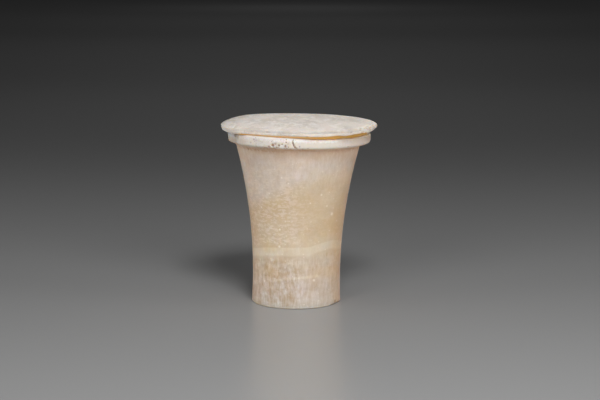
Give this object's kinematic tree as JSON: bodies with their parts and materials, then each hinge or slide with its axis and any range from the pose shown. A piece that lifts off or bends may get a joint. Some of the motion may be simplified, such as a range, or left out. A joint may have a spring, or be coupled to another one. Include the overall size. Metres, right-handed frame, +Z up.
{
  "type": "ointment jar",
  "caption": "Small carved travertine ointment jar with a flared hollow body, a heavy rolled rim and a loose disc lid.",
  "frame": {"origin": "centre of the jar's flat underside", "axes": "+Z up; -Y is the front, as the picture shows it, and +X is to its right"},
  "size_m": [0.0774, 0.0774, 0.0912],
  "materials": {
    "banded_travertine": "smoothed by hand, banded honey and cream, faintly translucent",
    "pale_travertine": "smoothed by hand, matt, with worn and pitted edges"
  },
  "bodies": {
    "root": {"jar": "banded_travertine", "lid": "pale_travertine"}
  },
  "joints": []
}
